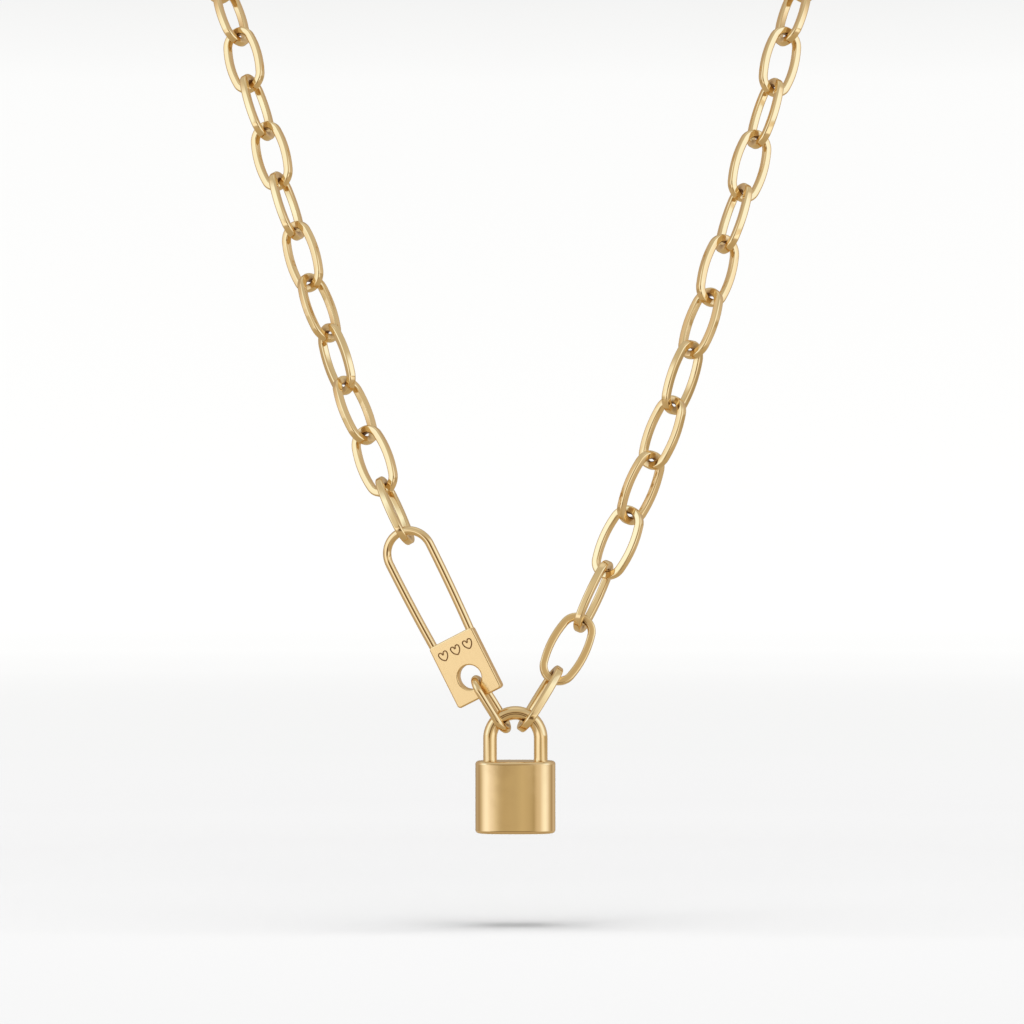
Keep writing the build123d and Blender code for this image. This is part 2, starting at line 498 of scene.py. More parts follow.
# %% The wall of a round hole
def spun_wall(bm, centre, radius, edge, top, depth, floor):
    """Faces of a round wall that goes down from a height, with a rounded rim and, if asked, a floor."""
    drawn = set(bm.faces) | set(bm.edges)
    start = bmesh.ops.create_vert(bm, co=(radius + edge, 0, top))["vert"]
    arc = bmesh.ops.spin(
        bm,
        geom=start,
        cent=(radius + edge, 0, top - edge),
        axis=(0, 1, 0),
        angle=-math.pi / 2,
        steps=4,
        use_duplicate=False,
    )
    low = bmesh.ops.extrude_vert_indiv(bm, verts=verts_in(arc["geom_last"]))["verts"]
    bmesh.ops.translate(bm, vec=(0, 0, edge - depth), verts=low)
    if floor:
        low = bmesh.ops.extrude_vert_indiv(bm, verts=low)["verts"]
        bmesh.ops.translate(bm, vec=(-radius, 0, 0), verts=low)
    profile = [edge for edge in bm.edges if edge not in drawn]
    corners = list({vert for edge in profile for vert in edge.verts})
    bmesh.ops.translate(bm, vec=centre, verts=corners)
    bmesh.ops.spin(
        bm,
        geom=corners + profile,
        cent=centre,
        axis=(0, 0, 1),
        angle=2 * math.pi,
        steps=64,
        use_merge=True,
        use_duplicate=False,
    )
    wall = [face for face in bm.faces if face not in drawn]
    if floor:
        pole = list({vert for face in wall for vert in face.verts})
        bmesh.ops.remove_doubles(bm, verts=pole, dist=WELD)
    return wall


# %% [markdown]
# ## The engraving
#
# A row of three small hearts stands above the hole. One heart is half an
# outline, a lobe and a long arc down to the tip, mirrored. The graved line
# lies between this outline and a second one, which keeps the line's width
# away everywhere: its arcs share the first one's centres and have smaller
# radii, and round the cleft it goes in an arc of its own. An inset operator
# would fail there, since a cleft as sharp as this has no inner corner.

# %% One heart's outline
def heart_outline(bm, middle, front, inside):
    """Closed outline of one heart, or of the field that stays inside a line of the given width."""
    before = set(bm.verts)
    lobe = heart_width / 4
    lobe_y = heart_height / 2 - lobe
    fall = heart_height - lobe
    side_radius = (4 * lobe**2 + fall**2) / (4 * lobe)
    side_x = 2 * lobe - side_radius
    pen = bmesh.ops.create_vert(bm, co=(0, lobe_y - inside, front))["vert"]
    strokes = [
        ((lobe, lobe_y, front), -math.pi, 12),
        ((side_x, lobe_y, front), -math.acos(-side_x / (side_radius - inside)), 8),
    ]
    if inside:
        strokes.insert(0, ((0, lobe_y, front), math.pi / 2, 4))
    for centre, turn, steps in strokes:
        pen = verts_in(arc_on(bm, pen, centre, turn, steps))
    half = [vert for vert in bm.verts if vert not in before]
    bmesh.ops.mirror(
        bm, geom=half + edges_of(half), matrix=Matrix.Identity(4), merge_dist=WELD, axis="X"
    )
    whole = [vert for vert in bm.verts if vert not in before]
    bmesh.ops.translate(bm, vec=middle, verts=whole)
    return edges_of(whole)


# %% Draw the connector
GRAVED = 1
WIRE = 2


def draw_plate(bm):
    """Plate with its hole, and the row of hearts cut into the front."""
    open_slab(bm)
    middle = Vector((0, 0, 0))
    wall = spun_wall(bm, middle, plate_hole / 2, plate_edge, plate_half, plate_half, floor=False)
    rings = list({vert for face in wall for vert in face.verts})
    bmesh.ops.mirror(
        bm,
        geom=wall + rings + edges_of(rings),
        matrix=Matrix.Identity(4),
        merge_dist=WELD,
        axis="Z",
    )
    bmesh.ops.triangle_fill(bm, use_beauty=True, use_dissolve=False, edges=rim_edges(bm, -plate_half))
    middles = []
    for number in range(heart_count):
        shift = (number - (heart_count - 1) / 2) * heart_spacing
        middles.append(Vector((shift, heart_above_hole, 0)))
    outer = [heart_outline(bm, middle, plate_half, 0) for middle in middles]
    bmesh.ops.triangle_fill(bm, use_beauty=True, use_dissolve=False, edges=rim_edges(bm, plate_half))
    inner = [heart_outline(bm, middle, plate_half, heart_line) for middle in middles]
    for outline, field in zip(outer, inner):
        line = bmesh.ops.triangle_fill(
            bm, use_beauty=True, use_dissolve=False, edges=outline + field
        )["geom"]
        line = [item for item in line if isinstance(item, bmesh.types.BMFace)]
        bmesh.ops.contextual_create(bm, geom=field)
        line_edges = list({edge for face in line for edge in face.edges})
        sunk = bmesh.ops.extrude_face_region(bm, geom=line + line_edges)
        floor = verts_in(sunk["geom"])
        bmesh.ops.translate(bm, vec=(0, 0, -heart_depth), verts=floor)
        for face in {face for vert in floor for face in vert.link_faces}:
            face.material_index = GRAVED
    bmesh.ops.recalc_face_normals(bm, faces=bm.faces)


def draw_bow(bm):
    """Long round-wire bow that grows out of the plate's upper corners."""
    radius = (bow_width - bow_wire) / 2
    foot = (plate_width - bow_wire) / 2
    centre_y = plate_top + bow_rise - bow_wire / 2 - radius
    fall = centre_y - plate_top + bow_root
    leg_radius = ((radius - foot) ** 2 + fall**2) / (2 * (radius - foot))
    leg_turn = math.asin(fall / leg_radius)
    section = round_section(bm, bow_wire, 32)
    upward = Matrix.Rotation(math.pi / 2 + leg_turn, 3, "Z")
    bmesh.ops.rotate(bm, verts=verts_in(section), cent=(0, 0, 0), matrix=upward)
    move_section(bm, section, (-foot, centre_y - fall, 0))
    first = verts_in(section)
    section = arc_on(bm, section, (leg_radius - radius, centre_y, 0), -leg_turn, 12)
    section = arc_on(bm, section, (0, centre_y, 0), -math.pi, 48)
    last = arc_on(bm, section, (radius - leg_radius, centre_y, 0), -leg_turn, 12)
    for ends in (edges_of(first), edges_of(verts_in(last))):
        bmesh.ops.contextual_create(bm, geom=ends)


bm = bmesh.new()
draw_plate(bm)
plate_faces = set(bm.faces)
draw_bow(bm)
for face in bm.faces:
    if face not in plate_faces:
        face.material_index = WIRE
bmesh.ops.recalc_face_normals(bm, faces=bm.faces)
flat = flat_on_board(bm)
bmesh.ops.transform(bm, matrix=connector_place, verts=bm.verts)
connector = finish_mesh(bm, "connector_plate_and_bow", weighted=True, flat=flat)

# %% [markdown]
# ## The padlock
#
# Seen from above its body is the oval of the links again, only fuller: round
# ends and a slightly crowned front and back. A single point sent round the
# oval's path draws that outline. The crown is less than a millimetre, but it
# is what lets one light run out softly across the front.

# %% The padlock's body
lock_low, lock_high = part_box("lock_body")
lock_middle = (lock_low + lock_high) / 2
lock_top = lock_high.z
print("padlock body is", [round(side / mm, 2) for side in lock_high - lock_low], "mm")


def draw_lock_body(bm):
    """Body with round ends, rounded rims and a socket for each leg of the shackle."""
    pen = bmesh.ops.create_vert(bm, co=(0, 0, 0))["vert"]
    bend_oval(bm, pen, lock_width, lock_depth, lock_end_radius, end_steps=20, side_steps=40)
    sideways = Matrix.Rotation(math.pi / 2, 3, "Z")
    bmesh.ops.rotate(bm, verts=bm.verts, cent=(0, 0, 0), matrix=sideways)
    bmesh.ops.contextual_create(bm, geom=bm.edges[:])
    raised = bmesh.ops.extrude_face_region(bm, geom=bm.faces[:], use_keep_orig=True)
    bmesh.ops.translate(bm, vec=(0, 0, lock_height), verts=verts_in(raised["geom"]))
    bmesh.ops.translate(bm, vec=(0, 0, -lock_height), verts=bm.verts)
    bmesh.ops.recalc_face_normals(bm, faces=bm.faces)
    rims = [edge for edge in bm.edges if abs(edge.verts[0].co.z - edge.verts[1].co.z) < WELD]
    bmesh.ops.bevel(
        bm,
        geom=rims,
        offset=lock_edge,
        segments=8,
        profile=0.5,
        affect="EDGES",
        material=-1,
    )
    top = [f for f in bm.faces if len(f.verts) > 4 and f.calc_center_median().z > -WELD]
    bmesh.ops.delete(bm, geom=top, context="FACES_ONLY")
    for side in (-1, 1):
        middle = Vector((side * shackle_spread / 2, 0, 0))
        spun_wall(bm, middle, shackle_wire / 2 + socket_gap, socket_edge, 0, socket_depth, floor=True)
    bmesh.ops.triangle_fill(bm, use_beauty=True, use_dissolve=False, edges=rim_edges(bm, 0))
    bmesh.ops.recalc_face_normals(bm, faces=bm.faces)


bm = bmesh.new()
draw_lock_body(bm)
flat = flat_on_board(bm)
bmesh.ops.translate(bm, vec=(0, lock_middle.y, lock_top), verts=bm.verts)
padlock_body = finish_mesh(bm, "padlock_body", weighted=True, flat=flat)

# %% [markdown]
# The shackle is round wire again: up one leg, half a turn, and down the
# other. On the board it stands upright, so its place is a quarter turn.

# %% The shackle
shackle_low, shackle_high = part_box("lock_shackle")
upright = board_matrix(Vector((0, lock_middle.y, 0)), Vector((0, 0, 1)), Vector((0, -1, 0)))


def draw_shackle(bm):
    """Round wire up one leg, over and down the other."""
    radius = shackle_spread / 2
    arch_y = shackle_high.z - shackle_wire / 2 - radius
    leg = Vector((0, arch_y - shackle_low.z, 0))
    section = round_section(bm, shackle_wire, 40)
    bmesh.ops.rotate(
        bm, verts=verts_in(section), cent=(0, 0, 0), matrix=Matrix.Rotation(math.pi / 2, 3, "Z")
    )
    move_section(bm, section, (-radius, shackle_low.z, 0))
    first = verts_in(section)
    section = run_on(bm, section, leg)
    section = arc_on(bm, section, (0, arch_y, 0), -math.pi, 48)
    last = run_on(bm, section, -leg)
    for ends in (edges_of(first), edges_of(verts_in(last))):
        bmesh.ops.contextual_create(bm, geom=ends)
    bmesh.ops.recalc_face_normals(bm, faces=bm.faces)


bm = bmesh.new()
draw_shackle(bm)
bmesh.ops.transform(bm, matrix=upright, verts=bm.verts)
shackle = finish_mesh(bm, "padlock_shackle")

# %% [markdown]
# ## The clasp
#
# A plain barrel with an eye at each end. An eye is a ring of wire, and it is
# turned square to the last link of its chain, which it holds.

# %% One eye, in the middle of the board
eye_radius = (eye_hole + eye_wire) / 2
eye_drawing = bmesh.new()
section = round_section(eye_drawing, eye_wire, 24)
move_section(eye_drawing, section, (0, eye_radius, 0))
arc_on(eye_drawing, section, (0, 0, 0), 2 * math.pi, 48)
bmesh.ops.remove_doubles(eye_drawing, verts=eye_drawing.verts, dist=WELD)
eye_mesh = bpy.data.meshes.new("one eye")
eye_drawing.to_mesh(eye_mesh)
eye_drawing.free()

# %% The clasp
clasp_middle = Vector((0, clasp_diameter / 2, 0))


def draw_clasp(bm):
    """Barrel along X with rounded ends, and an eye at each end."""
    bmesh.ops.create_cone(
        bm,
        cap_ends=True,
        segments=64,
        radius1=clasp_diameter / 2,
        radius2=clasp_diameter / 2,
        depth=clasp_length,
    )
    rims = [edge for edge in bm.edges if abs(edge.verts[0].co.z - edge.verts[1].co.z) < WELD]
    bmesh.ops.bevel(
        bm,
        geom=rims,
        offset=clasp_round,
        segments=8,
        profile=0.5,
        affect="EDGES",
        material=-1,
    )
    bmesh.ops.rotate(bm, verts=bm.verts, cent=(0, 0, 0), matrix=Matrix.Rotation(math.pi / 2, 3, "Y"))
    bmesh.ops.translate(bm, vec=clasp_middle, verts=bm.verts)
    along = Vector((1, 0, 0))
    for side, node in ((-1, "chain_left"), (1, "chain_right")):
        middle = clasp_middle + along * side * (clasp_length / 2 - eye_root + eye_radius)
        last_link = min(places[node], key=lambda place: (place.translation - middle).length)
        across = last_link.col[0].xyz
        outward = (across - along * across.dot(along)).normalized()
        before = set(bm.verts)
        bm.from_mesh(eye_mesh)
        eye = [vert for vert in bm.verts if vert not in before]
        bmesh.ops.transform(bm, matrix=board_matrix(middle, along, outward), verts=eye)
    bmesh.ops.recalc_face_normals(bm, faces=bm.faces)


bm = bmesh.new()
draw_clasp(bm)
clasp = finish_mesh(bm, "barrel_clasp")

# %% [markdown]
# ## Gold-coloured metal
#
# Polished metal has hardly a colour of its own: what shows is the room, tinted. So the detail of such a
# material is in how sharply each spot mirrors the room, in a surface that isn't quite even, and in painted
# shade, a darker tint where one piece hangs in another. All pieces share these effects, so each effect is a
# node group, and each material puts its own strengths to them.

# %% A helper for node groups
def new_group(name, inputs, outputs):
    """Shader node group with named sockets, and its two end nodes."""
    tree = bpy.data.node_groups.new(name, "ShaderNodeTree")
    for title, kind in inputs:
        tree.interface.new_socket(title, in_out="INPUT", socket_type=kind)
    for title, kind in outputs:
        tree.interface.new_socket(title, in_out="OUTPUT", socket_type=kind)
    return tree, tree.nodes.new("NodeGroupInput"), tree.nodes.new("NodeGroupOutput")


def noise_node(tree, scale, detail):
    """Noise that repeats so many times in a metre."""
    node = tree.nodes.new("ShaderNodeTexNoise")
    node.inputs["Scale"].default_value = scale
    node.inputs["Detail"].default_value = detail
    return node


def range_node(tree, low, high, to_low, to_high):
    """Map a value from one range to another."""
    node = tree.nodes.new("ShaderNodeMapRange")
    node.inputs["From Min"].default_value = low
    node.inputs["From Max"].default_value = high
    node.inputs["To Min"].default_value = to_low
    node.inputs["To Max"].default_value = to_high
    return node


VECTOR, VALUE = "NodeSocketVector", "NodeSocketFloat"

# %% [markdown]
# **Hand polish.** Wheel and cloth leave patches that are a little duller, and
# a faint waviness a few millimetres long. One noise gives the patches, a
# coarser one the waves.

# %% Hand polish
PATCH_SCALE = 420
WAVE_SCALE = 210
polish, given, result = new_group(
    "hand polish", [("Vector", VECTOR)], [("Dull", VALUE), ("Height", VALUE)]
)
patches = noise_node(polish, PATCH_SCALE, 3)
spread = range_node(polish, 0.35, 0.68, 0.0, 1.0)
waves = noise_node(polish, WAVE_SCALE, 1)
polish.links.new(given.outputs["Vector"], patches.inputs["Vector"])
polish.links.new(given.outputs["Vector"], waves.inputs["Vector"])
polish.links.new(patches.outputs["Fac"], spread.inputs["Value"])
polish.links.new(spread.outputs["Result"], result.inputs["Dull"])
polish.links.new(waves.outputs["Fac"], result.inputs["Height"])

# %% [markdown]
# ** Painted crevice shade.** The number written at the vertices says where pieces meet, and there the metal is painted darker as shade. A fine noise breaks its edge, so that it doesn't look airbrushed, and a power keeps it to the crevice.

# %% Painted shade in the crevices
GRAIN_SCALE = 2600
CREVICE_SHADE_POWER = 1.3
# mask of the painted shade in the crevices where pieces meet
crevice_shade, given, result = new_group("painted crevice shade", [("Vector", VECTOR)], [("Mask", VALUE)])
near = crevice_shade.nodes.new("ShaderNodeAttribute")
near.attribute_name = "shade_nearness"
grain = noise_node(crevice_shade, GRAIN_SCALE, 4)
uneven = range_node(crevice_shade, 0.3, 0.7, 1.1, 1.9)
broken = crevice_shade.nodes.new("ShaderNodeMath")
broken.operation = "MULTIPLY"
broken.use_clamp = True
narrow = crevice_shade.nodes.new("ShaderNodeMath")
narrow.operation = "POWER"
narrow.inputs[1].default_value = CREVICE_SHADE_POWER
crevice_shade.links.new(given.outputs["Vector"], grain.inputs["Vector"])
crevice_shade.links.new(grain.outputs["Fac"], uneven.inputs["Value"])
crevice_shade.links.new(near.outputs["Fac"], broken.inputs[0])
crevice_shade.links.new(uneven.outputs["Result"], broken.inputs[1])
crevice_shade.links.new(broken.outputs["Value"], narrow.inputs[0])
crevice_shade.links.new(narrow.outputs["Value"], result.inputs["Mask"])

# %% [markdown]
# **Brushing.** The connector's plate has a satin face. Its grain runs along
# the plate, so the noise is stretched in the plate's own frame: a Mapping
# node brings the object's coordinates onto the board first.

# %% Brushing
BRUSH_SCALE = (9000, 500, 9000)
brushing, given, result = new_group(
    "brushing", [("Vector", VECTOR)], [("Dull", VALUE), ("Height", VALUE)]
)
onto_board = brushing.nodes.new("ShaderNodeMapping")
onto_board.vector_type = "TEXTURE"
onto_board.inputs["Location"].default_value = connector_place.translation
onto_board.inputs["Rotation"].default_value = connector_place.to_euler()
stretch = brushing.nodes.new("ShaderNodeMapping")
stretch.inputs["Scale"].default_value = BRUSH_SCALE
hairs = noise_node(brushing, 1, 2)
brushing.links.new(given.outputs["Vector"], onto_board.inputs["Vector"])
brushing.links.new(onto_board.outputs["Vector"], stretch.inputs["Vector"])
brushing.links.new(stretch.outputs["Vector"], hairs.inputs["Vector"])
brushing.links.new(hairs.outputs["Fac"], result.inputs["Dull"])
brushing.links.new(hairs.outputs["Fac"], result.inputs["Height"])


# %% [markdown]
# A material then mixes clean metal with a darker tint by the mask, as painted shade in the crevices, takes
# its roughness from the patches and its bumps from the waves.

# %% The metals
# the metal is also a little rougher under the painted crevice shade
ROUGHER_IN_CREVICE_SHADE = 0.3
def gold(name, clean, shaded_tint, sharpest, dullest, surface, bump_height):
    """Polished metal: tints of clean metal and of the painted crevice shade, roughness range, surface group
    and bump height.
    """
    made = bpy.data.materials.new(name)
    made.use_nodes = True
    tree = made.node_tree
    shader = tree.nodes["Principled BSDF"]
    shader.inputs["Metallic"].default_value = 1
    where = tree.nodes.new("ShaderNodeTexCoord")
    finish = tree.nodes.new("ShaderNodeGroup")
    finish.node_tree = surface
    crevice_shade_node = tree.nodes.new("ShaderNodeGroup")
    crevice_shade_node.node_tree = crevice_shade
    # darker tint laid on by the mask: painted shade in the crevices
    tint = tree.nodes.new("ShaderNodeMix")
    tint.data_type = "RGBA"
    tint.inputs["A"].default_value = (*clean, 1)
    tint.inputs["B"].default_value = (*shaded_tint, 1)
    rough = range_node(tree, 0, 1, sharpest, dullest)
    rougher = tree.nodes.new("ShaderNodeMath")
    rougher.operation = "MULTIPLY_ADD"
    rougher.inputs[1].default_value = ROUGHER_IN_CREVICE_SHADE
    bump = tree.nodes.new("ShaderNodeBump")
    bump.inputs["Strength"].default_value = 1
    bump.inputs["Distance"].default_value = bump_height
    for node in (finish, crevice_shade_node):
        tree.links.new(where.outputs["Object"], node.inputs["Vector"])
    tree.links.new(crevice_shade_node.outputs["Mask"], tint.inputs["Factor"])
    tree.links.new(tint.outputs["Result"], shader.inputs["Base Color"])
    tree.links.new(finish.outputs["Dull"], rough.inputs["Value"])
    tree.links.new(crevice_shade_node.outputs["Mask"], rougher.inputs[0])
    tree.links.new(rough.outputs["Result"], rougher.inputs[2])
    tree.links.new(rougher.outputs["Value"], shader.inputs["Roughness"])
    tree.links.new(finish.outputs["Height"], bump.inputs["Height"])
    tree.links.new(bump.outputs["Normal"], shader.inputs["Normal"])
    print(name, "is between", sharpest, "and", dullest, "rough")
    return made


# dark tint of the painted shade in the crevices where pieces meet
crevice_shade_tint = (0.17, 0.065, 0.012)
link_gold = gold(
    "polished link gold", (0.88, 0.68, 0.38), crevice_shade_tint, 0.05, 0.12, polish, 0.005 * mm
)
lock_gold = gold(
    "bright padlock gold", (0.86, 0.66, 0.38), crevice_shade_tint, 0.03, 0.08, polish, 0.0015 * mm
)
wire_gold = gold(
    "bright wire gold", (0.86, 0.66, 0.37), crevice_shade_tint, 0.03, 0.08, polish, 0.003 * mm
)
plate_gold = gold(
    "satin plate gold", (0.90, 0.67, 0.355), crevice_shade_tint, 0.20, 0.28, brushing, 0.0006 * mm
)
graved_gold = gold(
    "darkened engraving", (0.34, 0.19, 0.08), crevice_shade_tint, 0.35, 0.5, polish, 0.01 * mm
)
for piece, materials in (
    (left_links, [link_gold]),
    (right_links, [link_gold]),
    (clasp, [link_gold]),
    (hanging_ring, [wire_gold]),
    (connector, [plate_gold, graved_gold, wire_gold]),
    (padlock_body, [lock_gold]),
    (shackle, [wire_gold]),
):
    for material in materials:
        piece.data.materials.append(material)

# %% [markdown]
# ## Handing the pieces to the frame

# %% Bodies, replaced nodes and slots
for piece, body, node, slot in (
    (left_links, "necklace", "chain_left", "chain"),
    (right_links, "necklace", "chain_right", "chain"),
    (clasp, "necklace", "clasp", "chain"),
    (connector, "necklace", "connector", "connector"),
    (hanging_ring, "necklace", "connector_ring", "connector"),
    (padlock_body, "padlock", "lock_body", "padlock"),
    (shackle, "padlock", "lock_shackle", "padlock"),
):
    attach(piece, body)
    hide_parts(node)

# %% [markdown]
# ## The camera
#
# It stands level in front, 0.6 m from the padlock, with a long lens, so that
# the chains hardly draw together towards the top.

# %% Camera
camera_distance = 0.6
field_width = 0.1536
look_at = Vector((-0.00051, lock_middle.y, -0.116))
camera_data = bpy.data.cameras.new("camera")
camera_data.sensor_width = 36
camera_data.lens = camera_data.sensor_width * camera_distance / field_width
camera = bpy.data.objects.new("camera", camera_data)
camera.location = look_at + Vector((0, -camera_distance, 0))
camera.rotation_euler = (math.pi / 2, 0, 0)
bpy.context.scene.collection.objects.link(camera)
bpy.context.scene.camera = camera
bpy.context.scene.view_settings.view_transform = "Standard"
print("lens of", round(camera_data.lens, 1), "mm")

# %% [markdown]
# ## The studio
#
# Polished metal shows the room, so the room comes first. Here it is painted
# on the world's background, which only reflections see. At the height of the
# eyes there is a softbox on each side of the camera, the right one with a
# crisp inner edge and the left one fading out. Higher up both stand further
# apart. Between and behind them is brown dusk, over them a pale ceiling and
# under them a dim ground. The camera, its stand and the line of its shelf are
# the darkest things in the room: they draw the thin dark lines that give
# polished wire its crispness.
#
# A direction's azimuth is looked up in one colour ramp for each of three
# heights, its height in another, and masks by height fade one into the next.
# The tones were worked out from what the photo's metal reflects in each direction, and then altered until the
# render came near it.

# %% The room, by azimuth and by height
EYE_HEIGHT = (
    (-180, (0.36, 0.27, 0.17)),
    (-160, (0.42, 0.33, 0.22)),
    (-125, (0.57, 0.49, 0.40)),
    (-103, (0.46, 0.37, 0.26)),
    (-84, (0.68, 0.62, 0.50)),
    (-67, (1.03, 0.99, 0.96)),
    (-53, (1.18, 1.20, 1.22)),
    (-40, (1.20, 1.22, 1.26)),
    (-28, (1.14, 1.12, 1.10)),
    (-20, (1.03, 0.98, 0.94)),
    (-16.4, (0.84, 0.77, 0.64)),
    (-13, (0.64, 0.56, 0.41)),
    (-10, (0.60, 0.51, 0.345)),
    (0, (0.60, 0.515, 0.35)),
    (6, (0.67, 0.58, 0.40)),
    (12, (0.60, 0.51, 0.345)),
    (15.5, (0.50, 0.42, 0.27)),
    (18, (0.74, 0.64, 0.50)),
    (26, (0.98, 0.93, 0.86)),
    (39, (1.15, 1.17, 1.16)),
    (53, (1.20, 1.26, 1.28)),
    (67, (1.07, 1.06, 1.07)),
    (84, (0.72, 0.65, 0.55)),
    (102, (0.44, 0.36, 0.25)),
    (125, (0.70, 0.62, 0.54)),
    (150, (0.54, 0.45, 0.33)),
    (180, (0.36, 0.27, 0.17)),
)
WIRE_LINE = (
    (-180, (0.36, 0.27, 0.17)),
    (-150, (0.48, 0.38, 0.27)),
    (-111, (0.57, 0.48, 0.38)),
    (-96, (0.72, 0.61, 0.54)),
    (-73, (1.14, 1.20, 1.24)),
    (-53, (1.14, 1.20, 1.24)),
    (-35, (0.84, 0.74, 0.59)),
    (-21, (0.50, 0.38, 0.24)),
    (-17, (0.17, 0.10, 0.04)),
    (-7, (0.17, 0.10, 0.04)),
    (-2, (0.38, 0.27, 0.17)),
    (4, (0.52, 0.40, 0.28)),
    (16, (1.02, 0.93, 0.80)),
    (33, (1.10, 1.10, 1.10)),
    (51, (0.99, 0.91, 0.79)),
    (70, (0.62, 0.50, 0.32)),
    (95, (0.50, 0.41, 0.28)),
    (140, (0.57, 0.48, 0.36)),
    (180, (0.36, 0.27, 0.17)),
)
OVER_EYES = (
    (-180, (0.42, 0.33, 0.22)),
    (-160, (0.50, 0.41, 0.30)),
    (-136, (0.54, 0.45, 0.37)),
    (-112, (0.58, 0.50, 0.42)),
    (-99, (0.78, 0.67, 0.57)),
    (-89, (0.98, 0.94, 0.90)),
    (-79, (1.12, 1.22, 1.34)),
    (-62, (1.14, 1.36, 1.60)),
    (-55, (1.14, 1.32, 1.52)),
    (-42, (0.82, 0.80, 0.74)),
    (-16, (0.68, 0.62, 0.52)),
    (0, (0.60, 0.51, 0.37)),
    (10, (0.62, 0.52, 0.38)),
    (18, (0.76, 0.68, 0.58)),
    (32, (0.92, 0.90, 0.86)),
    (48, (1.12, 1.20, 1.24)),
    (60, (1.12, 1.30, 1.56)),
    (72, (1.12, 1.27, 1.50)),
    (80, (1.10, 1.12, 1.18)),
    (87, (0.96, 0.92, 0.90)),
    (98, (0.68, 0.62, 0.55)),
    (114, (0.64, 0.57, 0.50)),
    (136, (0.56, 0.47, 0.40)),
    (160, (0.50, 0.41, 0.30)),
    (180, (0.42, 0.33, 0.22)),
)
UP_AND_DOWN = (
    (-1.0, (0.50, 0.41, 0.28)),
    (-0.6, (0.56, 0.46, 0.31)),
    (-0.36, (0.60, 0.51, 0.40)),
    (0.6, (0.72, 0.69, 0.62)),
    (0.8, (0.62, 0.59, 0.52)),
    (0.94, (0.66, 0.63, 0.57)),
    (1.0, (0.90, 0.88, 0.84)),
)
EYE_MASK = ((-0.36, 0.0), (-0.24, 1.0), (-0.057, 1.0), (-0.051, 0.0))
WIRE_MASK = ((-0.057, 0.0), (-0.051, 1.0), (0.017, 1.0), (0.06, 0.0))
OVER_MASK = ((0.017, 0.0), (0.06, 1.0), (0.56, 1.0), (0.68, 0.0))
CAMERA_HEIGHT = (
    (-0.46, 0.0),
    (-0.34, 1.0),
    (-0.18, 1.0),
    (-0.13, 0.0),
    (0.03, 0.0),
    (0.06, 1.0),
    (0.24, 1.0),
    (0.32, 0.0),
)
CAMERA_ROUND = ((-26, 0.0), (-16, 1.0), (12, 1.0), (20, 0.0))
CAMERA_DARK = (0.16, 0.10, 0.05, 1)

tones = len(EYE_HEIGHT) + len(WIRE_LINE) + len(OVER_EYES)
print("the room has", tones, "tones round and", len(UP_AND_DOWN), "up and down")

# %% Paint the room
world = bpy.data.worlds.new("studio room")
bpy.context.scene.world = world
world.use_nodes = True
nodes = world.node_tree.nodes
links = world.node_tree.links


def colour_ramp(tree, stops, low, high):
    """Colour ramp node with stops given on a scale from low to high."""
    node = tree.nodes.new("ShaderNodeValToRGB")
    node.color_ramp.elements.remove(node.color_ramp.elements[1])
    for number, (at, colour) in enumerate(stops):
        spot = (at - low) / (high - low)
        if number:
            element = node.color_ramp.elements.new(spot)
        else:
            element = node.color_ramp.elements[0]
            element.position = spot
        grey = (colour, colour, colour) if isinstance(colour, float) else colour
        element.color = (*grey, 1)
    return node


where = nodes.new("ShaderNodeTexCoord")
split = nodes.new("ShaderNodeSeparateXYZ")
forward = nodes.new("ShaderNodeMath")
forward.operation = "MULTIPLY"
forward.inputs[1].default_value = -1
azimuth = nodes.new("ShaderNodeMath")
azimuth.operation = "ARCTAN2"
links.new(where.outputs["Generated"], split.inputs["Vector"])
links.new(split.outputs["Y"], forward.inputs[0])
links.new(split.outputs["X"], azimuth.inputs[0])
links.new(forward.outputs["Value"], azimuth.inputs[1])


def looked_up(source, stops, low, high):
    """Colour of a ramp at a value given on a scale from low to high."""
    scale = range_node(world.node_tree, low, high, 0, 1)
    ramp = colour_ramp(world.node_tree, stops, low, high)
    links.new(source, scale.inputs["Value"])
    links.new(scale.outputs["Result"], ramp.inputs["Fac"])
    return ramp.outputs["Color"]


def mixed(mask, under, over):
    """One colour laid over another by a mask."""
    node = nodes.new("ShaderNodeMix")
    node.data_type = "RGBA"
    links.new(mask, node.inputs["Factor"])
    links.new(under, node.inputs["A"])
    if isinstance(over, tuple):
        node.inputs["B"].default_value = over
    else:
        links.new(over, node.inputs["B"])
    return node.outputs["Result"]


round_room = azimuth.outputs["Value"]
height = split.outputs["Z"]
half_turn = math.pi


def in_radians(stops):
    """The same stops with their azimuths in radians."""
    return [(math.radians(at), colour) for at, colour in stops]


room = looked_up(height, UP_AND_DOWN, -1, 1)
for band, mask in (
    (EYE_HEIGHT, EYE_MASK),
    (WIRE_LINE, WIRE_MASK),
    (OVER_EYES, OVER_MASK),
):
    panels = looked_up(round_room, in_radians(band), -half_turn, half_turn)
    room = mixed(looked_up(height, mask, -1, 1), room, panels)
camera_mask = nodes.new("ShaderNodeMath")
camera_mask.operation = "MULTIPLY"
links.new(looked_up(height, CAMERA_HEIGHT, -1, 1), camera_mask.inputs[0])
links.new(looked_up(round_room, in_radians(CAMERA_ROUND), -half_turn, half_turn), camera_mask.inputs[1])
room = mixed(camera_mask.outputs["Value"], room, CAMERA_DARK)
links.new(room, nodes["Background"].inputs["Color"])
world.cycles.sampling_method = "NONE"
world.cycles_visibility.diffuse = False
print("the room is painted on", world.name)

# %% [markdown]
# One real lamp hangs over the necklace. It lays the soft shadow of the
# padlock on the floor and is kept out of the reflections, where the painted
# ceiling already stands for it.

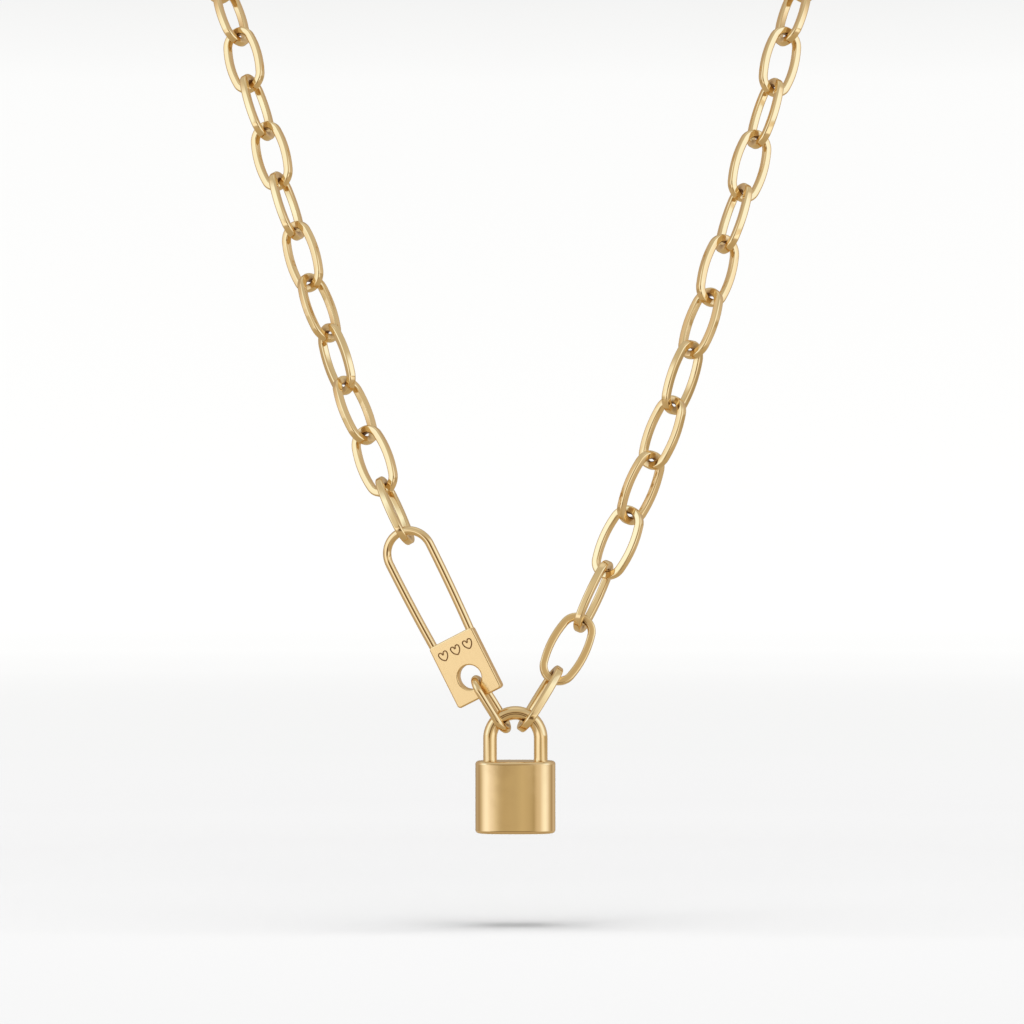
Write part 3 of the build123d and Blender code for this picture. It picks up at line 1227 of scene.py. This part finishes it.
# %% The overhead lamp
lamp_data = bpy.data.lights.new("overhead lamp", "AREA")
lamp_data.shape = "RECTANGLE"
lamp_data.size = 1.2
lamp_data.size_y = 0.6
lamp_data.energy = 100.0
lamp = bpy.data.objects.new("overhead lamp", lamp_data)
lamp.location = (0, lock_middle.y, 0.85)
lamp.visible_camera = False
lamp.visible_glossy = False
bpy.context.scene.collection.objects.link(lamp)

# %% [markdown]
# ## Floor and backdrop
#
# A pale sweep: a round floor under the necklace that curves up into a wall
# all round, so that no edge shows from any side. It is a profile spun once
# round the upright axis.

# %% The sweep
floor_height = -0.178
floor_radius = 1.5
cove_radius = 0.5
wall_height = 1.6

bm = bmesh.new()
start = bmesh.ops.create_vert(bm, co=(0, 0, 0))["vert"]
rim = bmesh.ops.extrude_vert_indiv(bm, verts=start)["verts"]
bmesh.ops.translate(bm, vec=(floor_radius, 0, 0), verts=rim)
cove = bmesh.ops.spin(
    bm,
    geom=rim,
    cent=(floor_radius, 0, cove_radius),
    axis=(0, 1, 0),
    angle=-math.pi / 2,
    steps=16,
    use_duplicate=False,
)
wall_top = bmesh.ops.extrude_vert_indiv(bm, verts=verts_in(cove["geom_last"]))["verts"]
bmesh.ops.translate(bm, vec=(0, 0, wall_height), verts=wall_top)
bmesh.ops.spin(
    bm,
    geom=bm.verts[:] + bm.edges[:],
    cent=(0, 0, 0),
    axis=(0, 0, 1),
    angle=2 * math.pi,
    steps=96,
    use_merge=True,
    use_duplicate=False,
)
bmesh.ops.remove_doubles(bm, verts=bm.verts, dist=WELD)
bmesh.ops.translate(bm, vec=(0, lock_middle.y, floor_height), verts=bm.verts)
bmesh.ops.recalc_face_normals(bm, faces=bm.faces)
sweep = finish_mesh(bm, "pale_sweep")

# %% [markdown]
# The paper is half matt and half glowing. Near the middle it takes nearly
# all its brightness from the lamp, so that the padlock's shadow is deep
# there. Further out the lamp fades, and the paper's own glow takes over by a
# ramp on the distance from the middle of the floor.

# %% Its paper
PAPER_GLOW = (
    (0.0, 0.0),
    (0.16, 0.0),
    (0.26, 0.04),
    (0.44, 0.17),
    (0.72, 0.40),
    (0.97, 0.60),
    (1.2, 0.73),
    (1.5, 0.82),
    (2.0, 0.81),
    (2.04, 0.71),
    (2.6, 0.71),
)
reach = PAPER_GLOW[-1][0]
paper = bpy.data.materials.new("pale paper")
paper.use_nodes = True
nodes = paper.node_tree.nodes
links = paper.node_tree.links
shader = nodes["Principled BSDF"]
shader.inputs["Base Color"].default_value = (0.12, 0.12, 0.12, 1)
shader.inputs["Roughness"].default_value = 1
shader.inputs["Specular IOR Level"].default_value = 0
shader.inputs["Emission Strength"].default_value = 1
where = nodes.new("ShaderNodeTexCoord")
from_middle = nodes.new("ShaderNodeMapping")
from_middle.inputs["Location"].default_value = (0, -lock_middle.y, -floor_height)
far = nodes.new("ShaderNodeVectorMath")
far.operation = "LENGTH"
scale = nodes.new("ShaderNodeMapRange")
scale.inputs["From Max"].default_value = reach
ramp = colour_ramp(paper.node_tree, [(at, (v, v, 0.992 * v)) for at, v in PAPER_GLOW], 0, reach)
links.new(where.outputs["Object"], from_middle.inputs["Vector"])
links.new(from_middle.outputs["Vector"], far.inputs[0])
links.new(far.outputs["Value"], scale.inputs["Value"])
links.new(scale.outputs["Result"], ramp.inputs["Fac"])
links.new(ramp.outputs["Color"], shader.inputs["Emission Color"])
sweep.data.materials.append(paper)
sweep.visible_glossy = False
